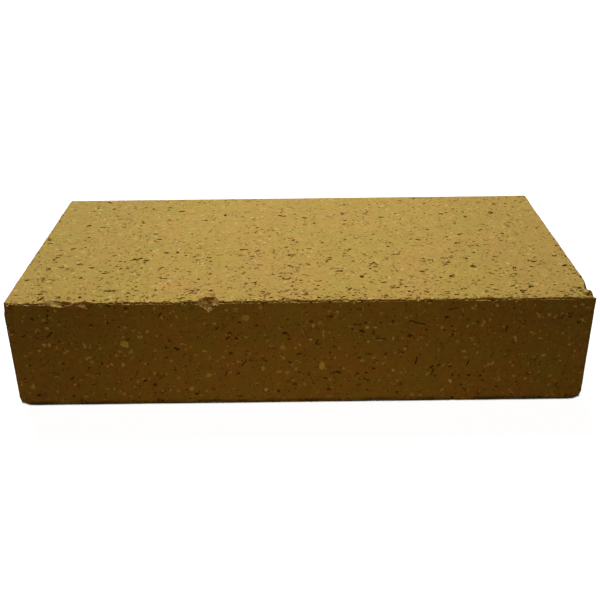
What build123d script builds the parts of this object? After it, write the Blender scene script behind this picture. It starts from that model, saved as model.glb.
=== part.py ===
from build123d import *
import math
import os

# A soldering brick: one block of dense fired refractory clay, lying on its bed face.
# Millimetres. The origin is the middle of the bed face, at the level it rests on.
# X runs along the length, -Y is the front face and Z is up.

# Overall block
LENGTH = 228.6
WIDTH = 114.3
THICKNESS = 46.0

# Worn edges: the arrises round each bed face, and the four upright edges
ARRIS_RADIUS = 0.8
UPRIGHT_RADIUS = 1.4

# Spall in the front arris of the work face. Its middle is measured from the left end.
# A rim lists the points of the break's outline on one face: along the arris, and in from it.
FRONT_SPALL_FROM_LEFT = 79.0
FRONT_SPALL_LENGTH = 9.0
FRONT_SPALL_TOP_RIM = ((-1.6, 4.4), (2.2, 5.0))
FRONT_SPALL_FRONT_RIM = ((0.4, 4.0),)

# Two thinner flakes further left on the same arris, side by side
LONG_FLAKE_FROM_LEFT = 21.5
LONG_FLAKE_LENGTH = 15.0
LONG_FLAKE_TOP_RIM = ((-2.5, 2.8), (3.0, 2.2))
LONG_FLAKE_FRONT_RIM = ((1.5, 1.4),)
SHORT_FLAKE_FROM_LEFT = 31.0
SHORT_FLAKE_LENGTH = 8.0
SHORT_FLAKE_TOP_RIM = ((0.5, 2.6),)
SHORT_FLAKE_FRONT_RIM = ((2.2, 2.6),)

# Break in the top arris of the right end, with a shallow one running out to the front corner
END_SPALL_FROM_FRONT = 11.5
END_SPALL_LENGTH = 10.0
END_SPALL_TOP_RIM = ((-3.6, 2.6),)
END_SPALL_END_RIM = ((-2.0, 3.6),)
END_FLAKE_FROM_FRONT = 3.2
END_FLAKE_LENGTH = 9.0
END_FLAKE_TOP_RIM = ((-0.5, 4.2),)
END_FLAKE_END_RIM = ((1.0, 1.6),)

# Where the deepest point of a break lies, as shares of its reach: well in from the arris
# and less far down, so that a short wall stands behind a long sloping floor. The shape
# that is taken out stands past the rim by the overreach.
BREAK_HOLLOW_IN = 0.72
BREAK_HOLLOW_DOWN = 0.45
BREAK_OVERREACH = 1.5

# Knocked corners of the front face: bites along the length, into the depth and along the
# height. A higher flatness makes all three flatter.
TOP_LEFT_BITES = (1.6, 2.2, 8.0)
BOTTOM_LEFT_BITES = (4.6, 2.4, 5.0)
BOTTOM_RIGHT_BITES = (5.4, 2.8, 3.2)
CORNER_FLATNESS = 90.0

LEFT_END = -LENGTH / 2
RIGHT_END = LENGTH / 2
FRONT = -WIDTH / 2
TOP = THICKNESS
BED = 0.0

RIGHTWARD = Vector(1, 0, 0)
LEFTWARD = Vector(-1, 0, 0)
BACKWARD = Vector(0, 1, 0)
UPWARD = Vector(0, 0, 1)
DOWNWARD = Vector(0, 0, -1)


def arris_break(point, along, faces_in, length, rims):
    """The faceted wedge that leaves an angular break in an arris.

    Flat facets run from the outline on both faces down to one deepest point. Every facet
    passes through that point, so the outline stays as given when the wedge is enlarged.
    """
    outline = [along * (-length / 2), along * (length / 2)]
    deepest = Vector(0, 0, 0)
    hollows = (BREAK_HOLLOW_IN, BREAK_HOLLOW_DOWN)
    for inward, rim, hollow in zip(faces_in, rims, hollows):
        outline += [along * shift + inward * bite for shift, bite in rim]
        deepest += inward * (hollow * max(bite for shift, bite in rim))
        deepest += along * (sum(shift for shift, bite in rim) / len(rim) / 2)
    wedge = [deepest + (corner - deepest) * BREAK_OVERREACH for corner in outline]
    outside = (faces_in[0] + faces_in[1]) * -length
    arris_point = Vector(*point)
    return ConvexPolyhedron([arris_point + corner for corner in (deepest, outside, *wedge)])


def corner_break(point, inward, bites):
    """The ball that leaves a scooped break where a corner was knocked off.

    Its surface crosses each inward direction at that direction's bite from the corner.
    """
    offsets = [(CORNER_FLATNESS - bite**2) / (2 * bite) for bite in bites]
    radius = math.sqrt(CORNER_FLATNESS + sum(offset**2 for offset in offsets))
    centre = Vector(*point)
    for direction, offset in zip(inward, offsets):
        centre -= direction * offset
    return Pos(centre) * Sphere(radius)


def worn_block():
    """The pressed block, with its upright edges and then its bed arrises rounded by handling."""
    block = Pos(0, 0, THICKNESS / 2) * Box(LENGTH, WIDTH, THICKNESS)
    block = fillet(block.edges().filter_by(Axis.Z), UPRIGHT_RADIUS)
    bed_faces = block.faces().filter_by(Plane.XY)
    return fillet(bed_faces.edges(), ARRIS_RADIUS)


def front_arris_breaks():
    """The spall and the two flakes along the front arris of the work face."""
    breaks = (
        (
            FRONT_SPALL_FROM_LEFT,
            FRONT_SPALL_LENGTH,
            (FRONT_SPALL_TOP_RIM, FRONT_SPALL_FRONT_RIM),
        ),
        (LONG_FLAKE_FROM_LEFT, LONG_FLAKE_LENGTH, (LONG_FLAKE_TOP_RIM, LONG_FLAKE_FRONT_RIM)),
        (
            SHORT_FLAKE_FROM_LEFT,
            SHORT_FLAKE_LENGTH,
            (SHORT_FLAKE_TOP_RIM, SHORT_FLAKE_FRONT_RIM),
        ),
    )
    return [
        arris_break(
            (LEFT_END + from_left, FRONT, TOP), RIGHTWARD, (BACKWARD, DOWNWARD), length, rims
        )
        for from_left, length, rims in breaks
    ]


def end_arris_breaks():
    """The two breaks in the top arris of the right end, next to the front corner."""
    breaks = (
        (END_SPALL_FROM_FRONT, END_SPALL_LENGTH, (END_SPALL_TOP_RIM, END_SPALL_END_RIM)),
        (END_FLAKE_FROM_FRONT, END_FLAKE_LENGTH, (END_FLAKE_TOP_RIM, END_FLAKE_END_RIM)),
    )
    return [
        arris_break(
            (RIGHT_END, FRONT + from_front, TOP), BACKWARD, (LEFTWARD, DOWNWARD), length, rims
        )
        for from_front, length, rims in breaks
    ]


def knocked_corners():
    """Three corners of the front face that have lost a flake."""
    return [
        corner_break(
            (LEFT_END, FRONT, TOP), (RIGHTWARD, BACKWARD, DOWNWARD), TOP_LEFT_BITES
        ),
        corner_break(
            (LEFT_END, FRONT, BED), (RIGHTWARD, BACKWARD, UPWARD), BOTTOM_LEFT_BITES
        ),
        corner_break(
            (RIGHT_END, FRONT, BED), (LEFTWARD, BACKWARD, UPWARD), BOTTOM_RIGHT_BITES
        ),
    ]


def soldering_brick():
    """The block, less everything that has broken away from its edges."""
    brick = worn_block()
    for break_shape in front_arris_breaks() + end_arris_breaks() + knocked_corners():
        brick -= break_shape
    return brick


os.makedirs("parts", exist_ok=True)
export_step(soldering_brick(), "parts/brick.step")
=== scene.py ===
import math
import random

import bmesh
import bpy
from mathutils import Matrix, Vector, noise


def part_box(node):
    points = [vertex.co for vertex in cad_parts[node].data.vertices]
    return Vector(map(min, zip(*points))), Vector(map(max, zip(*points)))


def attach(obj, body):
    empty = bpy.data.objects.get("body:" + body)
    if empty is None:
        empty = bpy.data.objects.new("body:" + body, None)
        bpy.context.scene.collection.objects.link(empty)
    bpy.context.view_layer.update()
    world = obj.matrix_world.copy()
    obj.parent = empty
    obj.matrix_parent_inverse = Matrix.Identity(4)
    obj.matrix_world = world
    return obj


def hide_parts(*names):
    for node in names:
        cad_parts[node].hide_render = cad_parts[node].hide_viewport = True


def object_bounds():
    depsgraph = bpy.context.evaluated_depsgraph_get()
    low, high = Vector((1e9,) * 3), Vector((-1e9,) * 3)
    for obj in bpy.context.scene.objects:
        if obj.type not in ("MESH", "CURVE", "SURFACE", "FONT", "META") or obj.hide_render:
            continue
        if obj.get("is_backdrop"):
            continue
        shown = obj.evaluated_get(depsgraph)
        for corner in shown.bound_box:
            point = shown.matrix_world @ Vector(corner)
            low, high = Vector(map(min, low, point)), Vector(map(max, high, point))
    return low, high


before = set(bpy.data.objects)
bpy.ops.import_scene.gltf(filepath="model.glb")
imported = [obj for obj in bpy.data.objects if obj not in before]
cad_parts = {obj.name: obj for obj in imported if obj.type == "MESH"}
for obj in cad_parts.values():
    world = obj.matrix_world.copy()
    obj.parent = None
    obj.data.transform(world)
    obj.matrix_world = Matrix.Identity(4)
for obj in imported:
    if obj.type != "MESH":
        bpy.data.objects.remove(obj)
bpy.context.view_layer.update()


# The view
# The brick lies on its bed face and is seen from a little above the bench, close to the
# front face, so that its front arris fills the width of the picture.

EYE = (-0.0001, -0.3457, 0.1936)
TILT_DOWN = math.radians(27.01)
PAN = math.radians(-0.065)
ROLL = math.radians(-0.66)
LENS_MM = 50.83
SENSOR_MM = 36.0


def view_of_brick():
    """The camera, looking along +Y and down onto the work face."""
    camera = bpy.data.objects.new("view", bpy.data.cameras.new("view"))
    camera.data.lens = LENS_MM
    camera.data.sensor_width = SENSOR_MM
    turn = Matrix.Rotation(PAN, 4, "Z")
    turn @= Matrix.Rotation(math.pi / 2 - TILT_DOWN, 4, "X")
    turn @= Matrix.Rotation(ROLL, 4, "Z")
    camera.matrix_world = Matrix.Translation(EYE) @ turn
    bpy.context.scene.collection.objects.link(camera)
    bpy.context.scene.camera = camera


view_of_brick()


# The worn block
# Dense refractory clay with crushed grog in it, pressed as one block and fired hard.
# Years on the bench have rounded its arrises and left its faces very slightly uneven.

MM_PER_METRE = 1000.0
block_low, block_high = (corner * MM_PER_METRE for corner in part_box("brick"))
MIDDLE = (block_low + block_high) / 2
LENGTH, WIDTH, THICKNESS = block_high - block_low
LEFT, FRONT, BED = block_low
RIGHT, BACK, TOP = block_high
UPRIGHT_RADIUS = 1.4
ARRIS_RADIUS = 0.8

# The skin is cut into cells, which are finer along the arrises and in the breaks. What
# lies no deeper than the skin depth is still skin, and past the break depth it is a break.
CELL = 4.5
FINE_CELL = 0.9
ARRIS_STRIP = 1.3
ROW_TURN_DEGREES = 14.0
ROW_STRETCH = 20.0
SAME_POINT = 0.002
ON_THE_CUT = 0.0005
FLAT_TURN = math.radians(0.3)
SKIN_DEPTH = 0.05
BREAK_DEPTH = 0.12

# The faces wave a little. The arrises are rubbed down unevenly, the front arris of the work
# face most of all, and crumbs have gone from it too.
FACE_WAVE = 0.14
FACE_WAVE_LENGTH = 18.0
ARRIS_WEAR = 0.45
ARRIS_WEAR_LENGTH = 5.0
WORN_SHARE = 0.35
WORK_ARRIS_WEAR = 1.7
CRUMB_WEAR = 0.4
CRUMB_LENGTH = 1.3
SQUARE_TO_A_FACE = 0.98
RESTS_ON_BED = 0.01


def outside_corner(first, second, radius):
    """Distance outside a rounded corner, from the distances outside its two faces."""
    first += radius
    second += radius
    beyond = math.hypot(max(first, 0.0), max(second, 0.0))
    return beyond + min(max(first, second), 0.0) - radius


def depth_in_block(point):
    """How far a point lies under the skin that the block had before anything broke off."""
    off = point - MIDDLE
    around = outside_corner(abs(off.x) - LENGTH / 2, abs(off.y) - WIDTH / 2, UPRIGHT_RADIUS)
    return -outside_corner(around, abs(off.z) - THICKNESS / 2, ARRIS_RADIUS)


def near_arris(point):
    """True within a narrow strip along each edge of the block."""
    half = (block_high - block_low) / 2
    under_each_face = sorted(half[axis] - abs(point[axis] - MIDDLE[axis]) for axis in range(3))
    return under_each_face[1] < ARRIS_STRIP


def on_work_arris(point):
    """True within a narrow strip along the front edge of the work face."""
    return point.y - FRONT < ARRIS_STRIP and TOP - point.z < ARRIS_STRIP


def thin_rows(skin):
    """Drops most of the long rows that each rounded arris is made of, as there are too many."""
    stretches = {}
    for edge in skin.edges:
        run = edge.verts[1].co - edge.verts[0].co
        middle = (edge.verts[0].co + edge.verts[1].co) / 2
        if run.length < CELL or not near_arris(middle):
            continue
        centres = [face.calc_center_median() for face in edge.link_faces]
        if any(depth_in_block(centre) > SKIN_DEPTH for centre in centres):
            continue
        along = max(range(3), key=lambda axis: abs(run[axis]))
        first, second = (axis for axis in range(3) if axis != along)
        outward = edge.link_faces[0].normal + edge.link_faces[1].normal
        turn = math.degrees(math.atan2(abs(outward[second]), abs(outward[first])))
        arris = (along, middle[first] > MIDDLE[first], middle[second] > MIDDLE[second])
        stretch = stretches.setdefault((arris, round(middle[along] / ROW_STRETCH)), [])
        stretch.append((turn, edge))
    dropped = []
    for rows in stretches.values():
        rows.sort(key=lambda row: row[0])
        kept = rows[0][0]
        for turn, edge in rows[1:-1]:
            if turn - kept < ROW_TURN_DEGREES:
                dropped.append(edge)
            else:
                kept = turn
    bmesh.ops.dissolve_edges(skin, edges=dropped, use_verts=False, use_face_split=False)


def divide(skin, chosen):
    """Halves the long edges of the chosen faces."""
    faces = [face for face in skin.faces if chosen(face)]
    bmesh.ops.triangulate(skin, faces=faces)
    edges = {edge for face in skin.faces if chosen(face) for edge in face.edges}
    long_edges = [edge for edge in edges if edge.calc_length() > FINE_CELL]
    bmesh.ops.subdivide_edges(skin, edges=long_edges, cuts=1)


def slice_across(skin, axis, step):
    """Cuts the skin by planes square to one axis, about a step apart."""
    square_to = Vector((0, 0, 0))
    square_to[axis] = 1.0
    span = (block_high - block_low)[axis]
    count = round(span / step)
    for index in range(1, count):
        place = Vector(block_low)
        place[axis] += span * index / count
        bmesh.ops.bisect_plane(
            skin,
            geom=skin.verts[:] + skin.edges[:] + skin.faces[:],
            dist=ON_THE_CUT,
            plane_co=place,
            plane_no=square_to,
        )


def worn_skin():
    """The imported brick's surface in millimetres, in cells that are small where it is worn."""
    skin = bmesh.new()
    skin.from_mesh(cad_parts["brick"].data)
    bmesh.ops.scale(skin, vec=Vector((MM_PER_METRE,) * 3), verts=skin.verts)
    bmesh.ops.remove_doubles(skin, verts=skin.verts, dist=SAME_POINT)
    bmesh.ops.dissolve_limit(skin, angle_limit=FLAT_TURN, verts=skin.verts, edges=skin.edges)
    thin_rows(skin)
    for axis in range(3):
        slice_across(skin, axis, CELL)
    broken = skin.faces.layers.int.new("broken")
    for face in skin.faces:
        face[broken] = depth_in_block(face.calc_center_median()) > BREAK_DEPTH
    divide(skin, lambda face: face[broken] or near_arris(face.calc_center_median()))
    divide(skin, lambda face: face[broken] or on_work_arris(face.calc_center_median()))
    bmesh.ops.triangulate(skin, faces=skin.faces)
    return skin


def wear(skin):
    """Lets the faces wave a little and rubs the arrises down unevenly, always inwards."""
    skin.normal_update()
    for point in skin.verts:
        place = point.co
        if place.z < BED + RESTS_ON_BED:
            continue
        worn_off = FACE_WAVE * (0.5 + 0.5 * noise.noise(place / FACE_WAVE_LENGTH))
        on_arris = max(abs(part) for part in point.normal) < SQUARE_TO_A_FACE
        if on_arris:
            rub = ARRIS_WEAR * max(0.0, WORN_SHARE + noise.noise(place / ARRIS_WEAR_LENGTH))
            if on_work_arris(place):
                rub += CRUMB_WEAR * max(0.0, noise.noise(place / CRUMB_LENGTH))
                rub *= WORK_ARRIS_WEAR
            worn_off += rub
        worn = place - point.normal * worn_off
        if depth_in_block(worn) > depth_in_block(place):
            point.co = worn


# The broken edges
# Flakes have come off the front arris, the right end and three corners. A break goes
# through the fired clay and its grog, so it is rough, angular and full of small sockets.

BREAK_ROUGHNESS = 0.55
BREAK_FACET = 1.7
FACET_LEVEL = 0.4
GRAIN_ROUGHNESS = 0.2
GRAIN_LENGTH = 0.7


def roughen_breaks(skin):
    """Turns the broken surfaces into a rough fracture."""
    broken = skin.faces.layers.int["broken"]
    skin.normal_update()
    for point in skin.verts:
        if point.link_faces and all(face[broken] for face in point.link_faces):
            near = noise.voronoi(point.co / BREAK_FACET)[0]
            facet = near[1] - near[0]
            grain = noise.noise(point.co / GRAIN_LENGTH)
            lift = BREAK_ROUGHNESS * (facet - FACET_LEVEL) + GRAIN_ROUGHNESS * grain
            moved = point.co + point.normal * lift
            if depth_in_block(moved) > SKIN_DEPTH:
                point.co = moved


skin = worn_skin()
roughen_breaks(skin)
wear(skin)


# The pores
# Air, and grit that burnt or fell out, left open pores over every face. They crowd
# together towards the front of the work face. Each is made as a small piece of grit that
# is sunk into the clay and then taken out of it.

ALONG = Vector((1, 0, 0))
DEEP = Vector((0, 1, 0))
UP = Vector((0, 0, 1))

# The corners of a piece of grit lie in or out by these shares. The grit reach is the
# furthest that a piece stands out from its middle, and the crystal reach is how far the
# sides of a crystal lie from it.
GRIT_SHAPES = 24
UNEVEN = (0.7, 1.2)
GRIT_REACH = 1.25
CRYSTAL_SIZE = 1.3
CRYSTAL_REACH = 0.62

# Half widths of the pores, and what varies between the hollows that make one, in shares
# of its half width
LARGE_PORE = 0.52
LARGEST_PORE = 1.05
LARGE_PORE_STRETCH = 1.15
HOLLOWS_IN_LARGE_PORE = (1, 2, 2, 3)
SMALL_PORE = 0.36
LARGEST_SMALL_PORE = 0.75
SMALL_PORE_STRETCH = 1.2
PORE_SPREAD = 0.3
HOLLOW_SIZE = (0.75, 1.1)
HOLLOWS_APART = (0.6, 1.3)
HOLLOW_RISE = (-0.35, 0.15)
HOLLOW_STRETCH = (0.8, 1.25)
HOLLOW_DEPTH = (0.5, 0.85)

# How strongly the pores clump, and how many the work face has at its back, more at its
# front and more at its right end, as shares of the most
PORE_CLUMP = 9.0
CLUMPING = 1.3
FEWEST_PORES = 0.06
PORES_AT_BACK = 0.15
MORE_AT_FRONT = 0.75
MORE_AT_RIGHT = 0.15
FRONT_CROWDING = 1.8
rng = random.Random(11)
skin.faces.layers.int.new("pore")


class GritLayer:
    """Pieces that don't touch each other, taken out of the brick together.

    What they leave is marked as a pore's wall, or as a break through the fired clay.
    """

    def __init__(self, leaves):
        self.grit = bmesh.new()
        self.mark = self.grit.faces.layers.int.new(leaves)
        self.leaves = leaves
        self.spots = []

    def has_room(self, leaves, place, reach):
        """True if the layer leaves that mark, and the piece would touch no other one in it."""
        return leaves == self.leaves and all(
            (place - spot).length > reach + size for spot, size in self.spots
        )

    def add(self, shape, place, reach):
        """Adds one piece."""
        self.grit.from_mesh(shape)
        self.spots.append((place, reach))


grit_layers = []


def uneven_shape(solid):
    """Pushes the corners of a small solid in or out and keeps it as a shape."""
    for point in solid.verts:
        point.co *= rng.uniform(*UNEVEN)
    shape = bpy.data.meshes.new("grit")
    solid.to_mesh(shape)
    solid.free()
    return shape


def pebble_shape():
    """A many-sided pebble about 1 mm in radius."""
    pebble = bmesh.new()
    bmesh.ops.create_icosphere(pebble, subdivisions=1, radius=1.0)
    return uneven_shape(pebble)


def crystal_shape():
    """A six-sided crystal about 1 mm in radius."""
    crystal = bmesh.new()
    bmesh.ops.create_cube(crystal, size=CRYSTAL_SIZE)
    bmesh.ops.triangulate(crystal, faces=crystal.faces)
    return uneven_shape(crystal)


pebbles = [pebble_shape() for _ in range(GRIT_SHAPES)]
crystals = [crystal_shape() for _ in range(GRIT_SHAPES)]


def random_turn():
    """Any turn at all."""
    turn = Matrix.Rotation(rng.uniform(0, 2 * math.pi), 4, "Z")
    turn @= Matrix.Rotation(math.acos(rng.uniform(-1, 1)), 4, "X")
    return turn @ Matrix.Rotation(rng.uniform(0, 2 * math.pi), 4, "Z")


def take_away(shape, form, place, reach, leaves):
    """Adds one piece, in that form, to what is taken out of the brick."""
    piece = shape.copy()
    piece.transform(Matrix.Translation(place) @ form)
    for layer in grit_layers:
        if layer.has_room(leaves, place, reach):
            break
    else:
        layer = GritLayer(leaves)
        grit_layers.append(layer)
    layer.add(piece, place, reach)
    bpy.data.meshes.remove(piece)


def sink(shapes, place, outward, across, deep, height):
    """Sinks one piece of grit, of those half sizes, into a face."""
    stand = outward.to_track_quat("Z", "Y").to_matrix().to_4x4()
    form = stand @ Matrix.Diagonal((across, deep, height, 1)) @ random_turn()
    reach = GRIT_REACH * max(across, deep, height)
    take_away(rng.choice(shapes), form, place, reach, "pore")


def open_pore(place, outward, radius, stretch=1.0, shapes=crystals, run_together=1):
    """A pore: one hollow, or a few that have run together into a ragged one."""
    side = outward.orthogonal().normalized()
    for number in range(run_together):
        size = radius * rng.uniform(*HOLLOW_SIZE)
        off = Vector((0, 0, 0))
        if number:
            off = Matrix.Rotation(rng.uniform(0, 2 * math.pi), 3, outward) @ side
            off *= radius * rng.uniform(*HOLLOWS_APART)
        off += outward * size * rng.uniform(*HOLLOW_RISE)
        across = size * stretch * rng.uniform(*HOLLOW_STRETCH)
        sink(shapes, place + off, outward, across, size, size * rng.uniform(*HOLLOW_DEPTH))


def pore_radius(typical, largest, spread=PORE_SPREAD):
    """Most pores are small and a few are large."""
    return min(largest, typical * math.exp(abs(rng.gauss(0, spread))))


class Face:
    """One face of the block: its near corner, its two sides, and which way is out."""

    def __init__(self, corner, side, other_side, outward):
        self.corner = Vector(corner)
        self.side = side
        self.other_side = other_side
        self.outward = outward
        self.square_cm = side.length * other_side.length / 100.0

    def place(self, crowding):
        """A random place on the face, more often where the pores crowd."""
        while True:
            place = self.corner + self.side * rng.random() + self.other_side * rng.random()
            if rng.random() < crowding(place):
                return place

    def pierce(self, crowding, large_per_cm, small_per_cm):
        """Scatters large and small pores over the face."""
        for _ in range(round(self.square_cm * large_per_cm)):
            radius = pore_radius(LARGE_PORE, LARGEST_PORE)
            hollows = rng.choice(HOLLOWS_IN_LARGE_PORE)
            place = self.place(crowding)
            open_pore(place, self.outward, radius, LARGE_PORE_STRETCH, pebbles, hollows)
        for _ in range(round(self.square_cm * small_per_cm)):
            radius = pore_radius(SMALL_PORE, LARGEST_SMALL_PORE)
            open_pore(self.place(crowding), self.outward, radius, SMALL_PORE_STRETCH)


work_face = Face((LEFT, FRONT, TOP), ALONG * LENGTH, DEEP * WIDTH, UP)
bed_face = Face((LEFT, FRONT, BED), ALONG * LENGTH, DEEP * WIDTH, -UP)
front_face = Face((LEFT, FRONT, BED), ALONG * LENGTH, UP * THICKNESS, -DEEP)
back_face = Face((LEFT, BACK, BED), ALONG * LENGTH, UP * THICKNESS, DEEP)
left_end = Face((LEFT, FRONT, BED), DEEP * WIDTH, UP * THICKNESS, -ALONG)
right_end = Face((RIGHT, FRONT, BED), DEEP * WIDTH, UP * THICKNESS, ALONG)


def clumps(place):
    """Pores come in clumps, with smoother clay between them."""
    return min(1.0, max(FEWEST_PORES, 0.5 + CLUMPING * noise.noise(place / PORE_CLUMP)))


def work_face_crowding(place):
    """More pores near the front arris and towards the right end."""
    frontward = (BACK - place.y) / WIDTH
    rightward = (place.x - LEFT) / LENGTH
    share = PORES_AT_BACK + MORE_AT_FRONT * frontward**FRONT_CROWDING + MORE_AT_RIGHT * rightward
    return clumps(place) * min(1.0, share)


work_face.pierce(work_face_crowding, large_per_cm=1.8, small_per_cm=6.2)
bed_face.pierce(clumps, large_per_cm=0.15, small_per_cm=0.4)
front_face.pierce(clumps, large_per_cm=0.55, small_per_cm=4.4)
for face in (back_face, left_end, right_end):
    face.pierce(clumps, large_per_cm=0.7, small_per_cm=2.2)


# The largest pores of the work face, as they lie: from the left end, from the front
# face, and how far each runs along and across the brick. Each is a row of three hollows.
THREE_IN_A_ROW = (-0.3, 0.0, 0.3)
HOLLOW_ALONG = 0.28
HOLLOW_ACROSS = 0.42
OUT_OF_LINE = (-0.15, 0.15)
WORK_PORE_DEPTH = 0.9
WORK_FACE_PORES = (
    (39.5, 11.0, 5.0, 2.0),
    (131.0, 27.0, 2.8, 2.2),
    (156.0, 43.5, 3.6, 1.4),
    (58.0, 97.0, 2.8, 2.4),
    (52.0, 102.0, 3.2, 1.6),
    (28.0, 33.0, 1.8, 2.0),
    (201.5, 7.0, 2.2, 1.8),
    (203.0, 28.0, 1.8, 2.6),
    (76.0, 42.0, 2.2, 1.6),
    (148.0, 15.5, 2.4, 1.4),
    (153.5, 86.5, 2.4, 2.4),
    (57.0, 47.5, 2.2, 2.0),
    (105.5, 90.0, 2.0, 2.0),
    (210.5, 29.0, 1.8, 1.8),
    (134.0, 10.0, 1.4, 2.4),
    (2.5, 63.5, 1.8, 2.6),
)
for from_left, from_front, along, across in WORK_FACE_PORES:
    place = Vector((LEFT + from_left, FRONT + from_front, TOP))
    for step in THREE_IN_A_ROW:
        spot = place + ALONG * step * along + DEEP * rng.uniform(*OUT_OF_LINE) * across
        sink(pebbles, spot, UP, along * HOLLOW_ALONG, across * HOLLOW_ACROSS, WORK_PORE_DEPTH)


# The darkest pores and drag marks of the front face: from the left end, up from the bed,
# how far each runs along and up the face, and how far its top leans to the right. Each is
# a row of four hollows.
FOUR_IN_A_ROW = (-0.35, -0.12, 0.12, 0.35)
HALF_MARK = 0.2
LEAST_HALF_MARK = 0.4
MARK_DEPTH = 0.7
FRONT_FACE_PORES = (
    (173.5, 42.0, 3.2, 2.4, 0.8),
    (6.5, 32.0, 1.6, 1.6, 0.0),
    (17.5, 33.0, 1.0, 2.4, 0.0),
    (23.0, 12.5, 1.4, 2.0, 0.3),
    (33.5, 14.5, 2.2, 1.0, 0.0),
    (60.5, 41.0, 1.2, 2.2, 0.0),
    (114.0, 22.5, 2.0, 1.2, 0.4),
    (112.0, 8.5, 2.4, 1.4, -0.4),
    (126.0, 39.0, 2.6, 1.2, 0.0),
    (137.0, 35.5, 3.0, 1.2, 0.0),
    (146.0, 29.0, 3.6, 1.4, 0.5),
    (174.0, 16.0, 1.4, 1.2, 0.0),
    (181.0, 17.5, 0.9, 3.2, 0.4),
    (216.0, 38.0, 1.0, 2.6, 0.0),
    (217.5, 7.0, 1.6, 1.6, 0.0),
    (86.0, 31.0, 1.0, 4.0, 0.2),
    (85.0, 14.0, 0.9, 2.8, 0.1),
    (160.5, 19.0, 0.8, 4.0, 0.0),
    (92.0, 18.5, 1.0, 3.2, 1.6),
    (141.5, 22.0, 2.4, 1.2, 0.3),
    (90.0, 3.0, 2.0, 1.0, 0.0),
    (160.0, 36.0, 7.0, 0.7, 0.0),
    (195.0, 33.0, 0.9, 3.0, -0.3),
    (47.0, 30.0, 1.4, 1.2, 0.0),
    (121.0, 28.0, 1.0, 2.4, 0.0),
)
for from_left, up, along, tall, lean in FRONT_FACE_PORES:
    place = Vector((LEFT + from_left, FRONT, BED + up))
    for step in FOUR_IN_A_ROW:
        spot = place + ALONG * step * (along + lean) + UP * step * (tall - 2 * HALF_MARK * along)
        spot += ALONG * rng.uniform(*OUT_OF_LINE) + UP * rng.uniform(*OUT_OF_LINE)
        wide = max(LEAST_HALF_MARK, along * HALF_MARK)
        high = max(LEAST_HALF_MARK, tall * HALF_MARK)
        sink(pebbles, spot, -DEEP, wide, high, MARK_DEPTH)


# Sockets that the grit left in the front spall, along its lower lip and below its floor:
# from the left end, in from the front face, down from the work face, and the half length
SOCKET_WIDTH = 0.7
SPALL_SOCKETS = (
    (77.6, 1.6, 1.6, 0.7),
    (79.2, 1.4, 2.2, 0.8),
    (80.6, 1.2, 2.7, 1.0),
    (81.9, 1.0, 2.3, 0.8),
    (80.0, 3.0, 1.2, 0.6),
)
for from_left, in_from_front, down, radius in SPALL_SOCKETS:
    place = Vector((LEFT + from_left, FRONT + in_from_front, TOP - down))
    sink(pebbles, place, UP - DEEP, radius, radius * SOCKET_WIDTH, radius * SOCKET_WIDTH)


# A strip of the work face along its front arris is full of pores, which lie closest
# together at the arris itself.
EDGE_PORES = 290
EDGE_PORE = 0.4
LARGEST_EDGE_PORE = 0.8
EDGE_STRIP = 5.0
CLEAR_OF_ARRIS = 0.6
EDGE_CROWDING = 1.5
for _ in range(EDGE_PORES):
    beside_arris = CLEAR_OF_ARRIS + EDGE_STRIP * rng.random() ** EDGE_CROWDING
    place = work_face.place(clumps)
    place.y = FRONT + beside_arris
    open_pore(place, UP, pore_radius(EDGE_PORE, LARGEST_EDGE_PORE), SMALL_PORE_STRETCH)


# The crumbled arrises
# Fired clay is brittle, so knocks have taken crumbs from every arris, and flat chips from
# the front arris of the work face. They come in stretches, with a sound arris between.

BROKEN_STRETCH = 13.0
STRETCH_CONTRAST = 1.5
CRUMB = 0.36
LARGEST_CRUMB = 0.9
CRUMB_SPREAD = 0.45
CRUMB_RISE = (-0.9, -0.3)
CRUMB_ASIDE = (-1.2, 1.2)
CRUMB_STRETCH = (0.8, 1.7)
WORK_ARRIS_CRUMB = 0.4
LARGEST_WORK_ARRIS_CRUMB = 1.2
ONTO_WORK_FACE = 0.9

# How much arris there is for each crumb that is missing
UPRIGHT_PER_CRUMB = 2.5
BED_ARRIS_PER_CRUMB = 5.0
FRONT_BED_ARRIS_PER_CRUMB = 3.0
TOP_ARRIS_PER_CRUMB = 2.2
WORK_ARRIS_PER_CRUMB = 0.8

# Most chips are short and a few are long, because their length is a power of a number
# drawn from the first range. They reach in and down by the two others.
CHIPS = 85
CHIP_ROOT = (0.8, 1.9)
CHIP_POWER = 1.7
CHIP_IN = (0.6, 1.7)
CHIP_DOWN = (0.3, 0.9)
CHIP_TILT_DEGREES = (-12, 12)
CLEAR_OF_CORNERS = 1.0


def along_arris(start, run):
    """A random place in one of the broken stretches of an arris."""
    while True:
        place = start + run * rng.random()
        if rng.random() < 0.5 + STRETCH_CONTRAST * noise.noise(place / BROKEN_STRETCH):
            return place


def crumble(start, end, outward, per_crumb, typical=CRUMB, largest=LARGEST_CRUMB, shift=0.0):
    """Takes small crumbs off along one arris. A shift puts more of them on one side of it."""
    run = end - start
    out = outward.normalized()
    beside = out.cross(run).normalized()
    for _ in range(round(run.length / per_crumb)):
        place = along_arris(start, run) + out * rng.uniform(*CRUMB_RISE)
        place += beside * (shift + rng.uniform(*CRUMB_ASIDE))
        radius = pore_radius(typical, largest, CRUMB_SPREAD)
        open_pore(place, out, radius, rng.uniform(*CRUMB_STRETCH))


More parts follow.
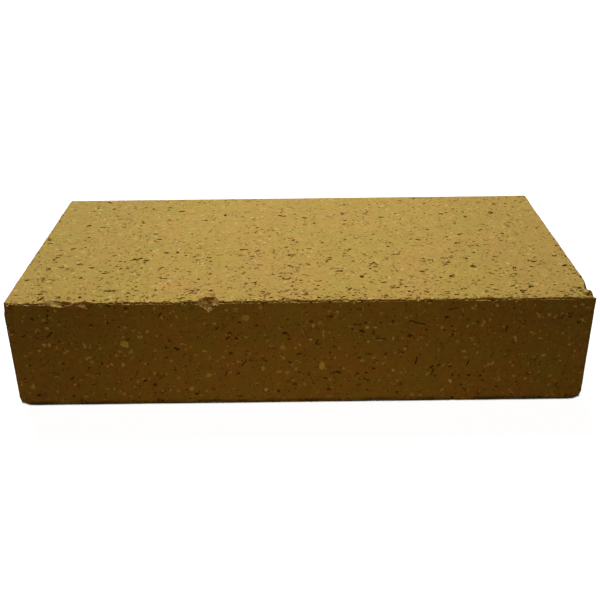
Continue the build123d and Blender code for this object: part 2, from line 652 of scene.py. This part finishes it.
def chip():
    """Knocks a shallow ledge into the front arris of the work face."""
    start = Vector((LEFT + CLEAR_OF_CORNERS, FRONT, TOP))
    place = along_arris(start, ALONG * (LENGTH - 2 * CLEAR_OF_CORNERS))
    long = rng.uniform(*CHIP_ROOT) ** CHIP_POWER
    deep = rng.uniform(*CHIP_IN)
    down = rng.uniform(*CHIP_DOWN)
    tilt = Matrix.Rotation(math.radians(rng.uniform(*CHIP_TILT_DEGREES)), 4, "X")
    form = tilt @ Matrix.Diagonal((long / 2, deep, down, 1)) @ Matrix.Scale(1 / CRYSTAL_REACH, 4)
    take_away(rng.choice(crystals), form, place, max(long / 2, deep) * GRIT_REACH, "broken")


for x, y, out in (
    (LEFT, FRONT, -ALONG - DEEP),
    (RIGHT, FRONT, ALONG - DEEP),
    (LEFT, BACK, DEEP - ALONG),
    (RIGHT, BACK, ALONG + DEEP),
):
    crumble(Vector((x, y, BED)), Vector((x, y, TOP)), out, UPRIGHT_PER_CRUMB)
for z, up, per_crumb in ((BED, -UP, BED_ARRIS_PER_CRUMB), (TOP, UP, TOP_ARRIS_PER_CRUMB)):
    crumble(Vector((LEFT, BACK, z)), Vector((RIGHT, BACK, z)), up + DEEP, per_crumb)
    crumble(Vector((LEFT, FRONT, z)), Vector((LEFT, BACK, z)), up - ALONG, per_crumb)
    crumble(Vector((RIGHT, FRONT, z)), Vector((RIGHT, BACK, z)), up + ALONG, per_crumb)
crumble(
    Vector((LEFT, FRONT, BED)), Vector((RIGHT, FRONT, BED)), -UP - DEEP, FRONT_BED_ARRIS_PER_CRUMB
)
crumble(
    Vector((LEFT, FRONT, TOP)),
    Vector((RIGHT, FRONT, TOP)),
    UP - DEEP,
    WORK_ARRIS_PER_CRUMB,
    typical=WORK_ARRIS_CRUMB,
    largest=LARGEST_WORK_ARRIS_CRUMB,
    shift=ONTO_WORK_FACE,
)
for _ in range(CHIPS):
    chip()


# The finished surface
# Each layer of grit is taken out of the worn block in turn. What is left is one closed
# surface, soft where hands have rubbed it and sharp round its pores and breaks.

SHARP_TURN = math.radians(60)
SHARP_TURN_IN_BREAK = math.radians(28)


def object_from(mesh, name):
    """Turns a finished bmesh into an object in the scene."""
    made = bpy.data.meshes.new(name)
    mesh.to_mesh(made)
    mesh.free()
    thing = bpy.data.objects.new(name, made)
    bpy.context.scene.collection.objects.link(thing)
    return thing


def take_out(block, layer):
    """Takes one layer of grit out of the block's mesh."""
    for face in layer.grit.faces:
        face[layer.mark] = 1
    grit = object_from(layer.grit, "grit")
    cut = block.modifiers.new("pores", "BOOLEAN")
    cut.operation = "DIFFERENCE"
    cut.solver = "MANIFOLD"
    cut.object = grit
    whole = block.evaluated_get(bpy.context.evaluated_depsgraph_get())
    block_mesh = bpy.data.meshes.new_from_object(whole)
    block.modifiers.clear()
    block.data = block_mesh
    bpy.data.objects.remove(grit)


block = object_from(skin, "block")
for layer in grit_layers:
    take_out(block, layer)


def finished_brick(block):
    """The pitted brick in metres, with the depth of every point and its sharp rims marked."""
    body = bmesh.new()
    body.from_mesh(block.data)
    bpy.data.objects.remove(block)
    depth = body.verts.layers.float.new("depth")
    for point in body.verts:
        point[depth] = depth_in_block(point.co)
    pore_wall = body.faces.layers.int["pore"]
    broken = body.faces.layers.int["broken"]
    for edge in body.edges:
        sides = {(face[pore_wall], face[broken]) for face in edge.link_faces}
        most = SHARP_TURN_IN_BREAK if sides == {(0, 1)} else SHARP_TURN
        edge.smooth = len(sides) == 1 and edge.calc_face_angle(0.0) < most
    for face in body.faces:
        face.smooth = True
    bmesh.ops.scale(body, vec=Vector((1 / MM_PER_METRE,) * 3), verts=body.verts)
    return object_from(body, "soldering_brick")


brick = finished_brick(block)


# The fired clay
# Buff clay, fired through, mottled by the kiln from a warm tan to a faint olive. Pale crushed
# grog shows on the sides and iron left a few dark specks. The pinholes and pores are painted
# darker inside: painted shade, with some brown dirt in the pores.


def linear(red, green, blue):
    """A colour written as it looks on a screen, 0 to 255, as the light values a shader takes."""
    parts = []
    for value in (red, green, blue):
        value /= 255.0
        parts.append(value / 12.92 if value <= 0.04045 else ((value + 0.055) / 1.055) ** 2.4)
    return (*parts, 1.0)


GRAIN_RIM = 0.06
HARD_LINE = 0.01
DULLEST_GRAIN = 0.45


class Reading:
    """One socket of a material. Sums written with it become Math nodes."""

    def __init__(self, tree, socket):
        self.tree = tree
        self.socket = socket

    def node(self, kind, settings=None, sockets=None, output=0):
        """Adds any node: first its settings, then the values or links of its sockets."""
        made = self.tree.nodes.new(kind)
        for name, value in (settings or {}).items():
            setattr(made, name, value)
        for name, value in (sockets or {}).items():
            if isinstance(value, Reading):
                self.tree.links.new(value.socket, made.inputs[name])
            else:
                made.inputs[name].default_value = value
        return Reading(self.tree, made.outputs[output])

    def sum(self, operation, first, second):
        """One Math node."""
        return self.node("ShaderNodeMath", {"operation": operation}, {0: first, 1: second})

    def __add__(self, other):
        return self.sum("ADD", self, other)

    def __radd__(self, other):
        return self.sum("ADD", other, self)

    def __sub__(self, other):
        return self.sum("SUBTRACT", self, other)

    def __rsub__(self, other):
        return self.sum("SUBTRACT", other, self)

    def __mul__(self, other):
        return self.sum("MULTIPLY", self, other)

    def __rmul__(self, other):
        return self.sum("MULTIPLY", other, self)

    def between(self, low, high):
        """0 where the reading is at low and 1 where it is at high, eased at both ends."""
        return self.node(
            "ShaderNodeMapRange",
            {"interpolation_type": "SMOOTHSTEP"},
            {"Value": self, "From Min": low, "From Max": high},
        )

    def blend(self, share, other):
        """This colour, turned into the other one as the share goes from 0 to 1."""
        return self.node(
            "ShaderNodeMix", {"data_type": "RGBA"}, {"Factor": share, 6: self, 7: other}, 2
        )

    def times(self, amount):
        """This colour or place, with each part of it multiplied by an amount."""
        return self.node(
            "ShaderNodeVectorMath", {"operation": "SCALE"}, {0: self, "Scale": amount}
        )

    def parts(self, kind):
        """The separate numbers that a colour or a place is made of."""
        first = self.node(kind, None, {0: self})
        return [Reading(self.tree, socket) for socket in first.socket.node.outputs]

    def marked(self, name):
        """What the mesh says of a point or a face under that name."""
        return self.node("ShaderNodeAttribute", {"attribute_name": name}, output="Fac")

    def leads_to(self, kind):
        """Links this to the output node of a material or of the world."""
        self.tree.links.new(self.socket, self.tree.nodes.new(kind).inputs[0])

    def grains(self, spacing, share, inset):
        """Scattered angular grains, from 0 to 1: a share of the places hold one."""
        cells = {"Vector": self, "Scale": 1 / spacing}
        dice = self.node("ShaderNodeTexVoronoi", None, cells, "Color")
        to_side = {"feature": "DISTANCE_TO_EDGE"}
        side = self.node("ShaderNodeTexVoronoi", to_side, cells, "Distance")
        throw, small, shade = dice.parts("ShaderNodeSeparateColor")
        inside = (side - small * inset).between(0.0, GRAIN_RIM)
        held = 1.0 - throw.between(share, share + HARD_LINE)
        return held * inside * (DULLEST_GRAIN + (1.0 - DULLEST_GRAIN) * shade)

    def patches(self, size, detail=2.0, roughness=0.5):
        """Soft patches about a size across, from 0 to 1."""
        return self.node(
            "ShaderNodeTexNoise",
            {"noise_dimensions": "3D"},
            {"Vector": self, "Scale": 1 / size, "Detail": detail, "Roughness": roughness},
        )


# The largest pieces of grog in the front face, as they lie: from the left end, up from
# the bed, how wide and how tall each one shows, and how pale it is from 0 to 1.
FRONT_FACE_GROG = (
    (93.5, 39.0, 3.2, 2.6, 0.4),
    (123.0, 17.0, 2.4, 4.0, 0.8),
    (45.5, 28.0, 3.6, 2.8, 0.7),
    (174.5, 9.0, 1.8, 2.4, 0.8),
    (100.5, 6.0, 1.8, 2.2, 0.8),
    (99.5, 16.0, 1.6, 2.4, 0.5),
    (107.5, 25.5, 2.2, 2.4, 0.5),
    (70.5, 7.0, 2.0, 2.2, 0.6),
    (65.0, 6.0, 1.6, 1.8, 0.4),
    (7.0, 9.0, 1.2, 2.8, 0.6),
    (44.0, 18.5, 1.2, 2.0, 0.7),
    (140.5, 34.0, 1.6, 1.8, 0.9),
    (118.5, 29.0, 1.4, 1.4, 0.7),
    (151.5, 14.5, 1.4, 1.4, 0.8),
    (191.0, 17.5, 1.6, 1.6, 0.6),
    (214.5, 11.0, 2.0, 1.6, 0.4),
    (16.0, 28.0, 1.6, 1.8, 0.6),
)


BUFF = linear(180, 148, 69)
KILN_BUFF = linear(176, 149, 65)
WARM_BUFF = linear(185, 146, 73)
OLIVE = linear(166, 158, 66)
RUDDY = linear(190, 140, 74)
GROG = linear(232, 212, 132)
FINE_GROG = linear(238, 214, 142)
LARGE_GROG = linear(246, 232, 150)
IRON = linear(102, 70, 22)
PINHOLE_SHADE = linear(98, 66, 22)
PORE_SHADE_AND_DIRT = linear(92, 58, 14)
FRACTURE = linear(176, 120, 54)
FRACTURE_GRAIN = linear(232, 198, 130)
BED_ARRIS_SHADE = linear(40, 34, 14)
OVERALL_SHADE = 1.04
SIDE_SHADE_TOWARDS_TOP = 0.24
END_SHADE = 0.13
END_SHADE_FROM_MIDDLE = 30.0
RAGGED_SCALE = 0.9
RAGGED_BY = 1.4
GRIT_RELIEF = 0.14
FINE_RELIEF = 0.05
PINHOLE_RELIEF = 0.25
CLAY_ROUGHNESS = 0.86
GRIT_ROUGHNESS = 0.12
CLAY_SHINE = 0.2


def bare_tree(owner):
    """The node tree of a material or of the world, with nothing in it."""
    owner.use_nodes = True
    owner.node_tree.nodes.clear()
    return owner.node_tree


def fired_clay():
    """The material of the whole brick."""
    material = bpy.data.materials.new("fired_clay")
    start = Reading(bare_tree(material), None)
    in_metres = start.node("ShaderNodeTexCoord", output="Object")
    place = in_metres.times(MM_PER_METRE)
    x, y, z = place.parts("ShaderNodeSeparateXYZ")
    depth = start.marked("depth")
    pore_wall = start.marked("pore")
    broken = start.marked("broken")
    on_work_face = 1.0 - (TOP - z - depth).between(0.1, 0.6)
    behind_front_face = y - FRONT
    on_front_face = 1.0 - behind_front_face.between(0.5, 2.5)

    # The clay, in the shades that the kiln gave it
    clay = start.node("ShaderNodeRGB")
    clay.socket.default_value = BUFF
    kiln = place.patches(40.0).between(0.42, 0.62)
    warm = place.patches(26.0, detail=3.0).between(0.48, 0.68)
    clay = clay.blend(kiln * 0.7, KILN_BUFF).blend(warm * 0.6, WARM_BUFF)
    tint = place.patches(9.0, roughness=0.6)
    olive = tint.between(0.5, 0.64) * (0.3 - 0.15 * on_work_face)
    ruddy = (1.0 - tint.between(0.36, 0.5)) * (0.35 - 0.2 * on_work_face)
    clay = clay.blend(olive, OLIVE).blend(ruddy, RUDDY)

    # Its fine mottling and stains, and painted shade: the sides darker towards the work face, and
    # the clay darker towards both ends
    mottle = place.patches(4.0, detail=3.0, roughness=0.6) - 0.5
    grit = place.patches(0.9, detail=3.0, roughness=0.65)
    stain = place.patches(2.2, roughness=0.6).between(0.52, 0.62)
    # Painted shade: the sides grow darker up towards the work face, where less light comes up
    # from the table.
    painted_side_shade = SIDE_SHADE_TOWARDS_TOP * z.between(BED, TOP) * (1.0 - on_work_face)
    # Painted shade: the clay darker towards both ends, where less of the lamp's light reaches
    # them.
    from_middle = start.sum("ABSOLUTE", x, 0.0)
    painted_end_shade = END_SHADE * from_middle.between(END_SHADE_FROM_MIDDLE, LENGTH / 2)
    shade = mottle * 0.3 + (grit - 0.5) * 0.26 - stain * 0.1 - painted_side_shade - painted_end_shade
    clay = clay.times(OVERALL_SHADE + shade)

    # The grog, with ragged outlines. It shows most on the front face.
    wander = {"Vector": place, "Scale": RAGGED_SCALE}
    shake = place.node("ShaderNodeTexNoise", None, wander, "Color")
    shaken = place.node(
        "ShaderNodeVectorMath",
        {"operation": "MULTIPLY_ADD"},
        {0: shake, 1: (RAGGED_BY,) * 3, 2: place},
    )
    grog = shaken.grains(spacing=2.0, share=0.035, inset=0.38)
    fine_grog = shaken.grains(spacing=1.2, share=0.12, inset=0.34)
    clay = clay.blend(grog * (0.2 + 0.5 * on_front_face), GROG)
    clay = clay.blend(fine_grog * (0.4 + 0.45 * on_front_face), FINE_GROG)
    ragged = (place.patches(1.1) - 0.5) * 1.6
    in_front_face = 1.0 - behind_front_face.between(0.8, 1.2)
    for from_left, up, wide, tall, pale in FRONT_FACE_GROG:
        along_it = (x - (LEFT + from_left)) * (2.0 / wide)
        up_it = (z - (BED + up)) * (2.0 / tall)
        off_it = along_it * along_it + up_it * up_it + ragged
        here = (1.0 - off_it.between(0.6, 1.1)) * in_front_face
        clay = clay.blend(here * pale, LARGE_GROG)

    # Iron specks, painted shade in the pinholes, and the pores painted darker with depth: painted
    # shade, with some brown dirt
    iron = shaken.grains(spacing=2.4, share=0.05, inset=0.4)
    clay = clay.blend(iron * 0.6, IRON)
    # Painted shade: tiny pinholes drawn as dark specks, with a little sunken relief.
    pinholes = place.patches(1.3, roughness=0.6).between(0.62, 0.7)
    clay = clay.blend(pinholes * (0.75 - 0.35 * on_work_face), PINHOLE_SHADE)
    # Mostly painted shade deep in the pores, darker on the shaded sides than on the work face,
    # with some brown dirt.
    pore_shade_and_dirt = depth.between(0.05 + 0.25 * on_work_face, 0.3 + 0.8 * on_work_face) * pore_wall
    clay = clay.blend(pore_shade_and_dirt * (0.85 - 0.3 * on_work_face), PORE_SHADE_AND_DIRT)

    # The breaks, with crumbs of paler grog in a redder clay, and painted shade along the bed
    # arris, where the brick meets the table
    fracture = clay.blend(grit.between(0.44, 0.6), FRACTURE)
    fracture = fracture.blend(1.0 - grit.between(0.34, 0.42), FRACTURE_GRAIN)
    clay = clay.blend(broken * 0.8, fracture)
    # Painted shade: a dark line in patches along the bed arris, where the brick sits on the
    # table.
    painted_bed_shade = (1.0 - z.between(0.6, 2.4)) * (z - depth).between(0.02, 0.2)
    painted_bed_shade = painted_bed_shade * place.patches(14.0, detail=3.0, roughness=0.6).between(0.34, 0.6)
    clay = clay.blend(painted_bed_shade * 0.8, BED_ARRIS_SHADE)

    height = grit * GRIT_RELIEF + place.patches(0.4) * FINE_RELIEF - pinholes * PINHOLE_RELIEF
    bump = place.node(
        "ShaderNodeBump", None, {"Strength": 1.0, "Distance": 1 / MM_PER_METRE, "Height": height}
    )
    surface = start.node(
        "ShaderNodeBsdfPrincipled",
        None,
        {
            "Base Color": clay,
            "Roughness": CLAY_ROUGHNESS + grit * GRIT_ROUGHNESS,
            "Normal": bump,
            "Specular IOR Level": CLAY_SHINE,
        },
    )
    surface.leads_to("ShaderNodeOutputMaterial")
    return material


brick.data.materials.clear()
brick.data.materials.append(fired_clay())
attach(brick, "root")
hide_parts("brick")


# The table and the light
# A plain white table. A large soft lamp above and behind the brick lights the work face.
# The front face stays in shade, lit by the dim warm room and a small warm lamp near it.

TABLE_SIZE = 8.0
TABLE_GLOW = 0.97
TABLE_WHITE = (0.3, 0.3, 0.3, 1.0)
TABLE_BOUNCE = (0.08, 0.06, 0.02, 1.0)
WHITE = (1.0, 1.0, 1.0, 1.0)
CONTACT_MM = 1.5
LAMP_AIM = (0.0, 0.0, 0.02)
KEY_SIZE = 1.2
KEY_PLACE = (-0.4, 1.6, 1.9)
KEY_WATTS = 79.0
FILL_SIZE = 0.06
FILL_PLACE = (0.0, -0.307, 0.035)
FILL_WATTS = 0.09
FILL_WARM = (1.0, 0.58, 0.19)
ROOM_WARM = (1.0, 0.72, 0.26, 1.0)
ROOM_STRENGTH = 0.065


def see_white(lit, white):
    """White to the camera and in reflections, and its own colour to the light."""
    straight, mirrored, through = (
        lit.node("ShaderNodeLightPath", output=f"Is {ray} Ray")
        for ray in ("Camera", "Glossy", "Transmission")
    )
    seen = lit.sum("MAXIMUM", lit.sum("MAXIMUM", straight, mirrored), through)
    return lit.node("ShaderNodeMixShader", None, {0: seen, 1: lit, 2: white})


def table_top():
    """The floor: white, with the brick's shadow, and a painted shadow: a thin dark line where the
    two meet.
    """
    plane = bmesh.new()
    bmesh.ops.create_grid(plane, x_segments=1, y_segments=1, size=TABLE_SIZE / 2)
    table = object_from(plane, "table")
    material = bpy.data.materials.new("white_table")
    start = Reading(bare_tree(material), None)
    # Painted shadow: the floor's white glow dims close to the brick.
    open_air = start.node(
        "ShaderNodeAmbientOcclusion", {"samples": 8}, {"Distance": CONTACT_MM / MM_PER_METRE}, 1
    )
    strength = open_air.between(0.5, 0.8) * TABLE_GLOW
    glow = start.node("ShaderNodeEmission", None, {"Color": WHITE, "Strength": strength})
    top = start.node("ShaderNodeBsdfDiffuse", None, {"Color": TABLE_WHITE})
    white = start.node("ShaderNodeAddShader", None, {0: glow, 1: top})
    lit = start.node("ShaderNodeBsdfDiffuse", None, {"Color": TABLE_BOUNCE})
    see_white(lit, white).leads_to("ShaderNodeOutputMaterial")
    table.data.materials.append(material)
    table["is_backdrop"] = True


def room():
    """The world: white behind the table, and a dim warm fill for the brick."""
    world = bpy.data.worlds.new("room")
    bpy.context.scene.world = world
    start = Reading(bare_tree(world), None)
    fill = start.node(
        "ShaderNodeBackground", None, {"Color": ROOM_WARM, "Strength": ROOM_STRENGTH}
    )
    white = start.node("ShaderNodeBackground", None, {"Color": WHITE, "Strength": 1.0})
    see_white(fill, white).leads_to("ShaderNodeOutputWorld")


def soft_lamp(name, place, size, watts, colour=(1, 1, 1)):
    """A square soft lamp that points at the brick and isn't seen itself."""
    lamp = bpy.data.objects.new(name, bpy.data.lights.new(name, "AREA"))
    lamp.visible_camera = False
    lamp.data.size = size
    lamp.data.energy = watts
    lamp.data.color = colour
    turn = (Vector(LAMP_AIM) - Vector(place)).to_track_quat("-Z", "Y")
    lamp.matrix_world = Matrix.Translation(place) @ turn.to_matrix().to_4x4()
    bpy.context.scene.collection.objects.link(lamp)


table_top()
room()
soft_lamp("key", KEY_PLACE, KEY_SIZE, KEY_WATTS)
soft_lamp("fill", FILL_PLACE, FILL_SIZE, FILL_WATTS, FILL_WARM)

bpy.context.scene.view_settings.view_transform = "Standard"


low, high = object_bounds()
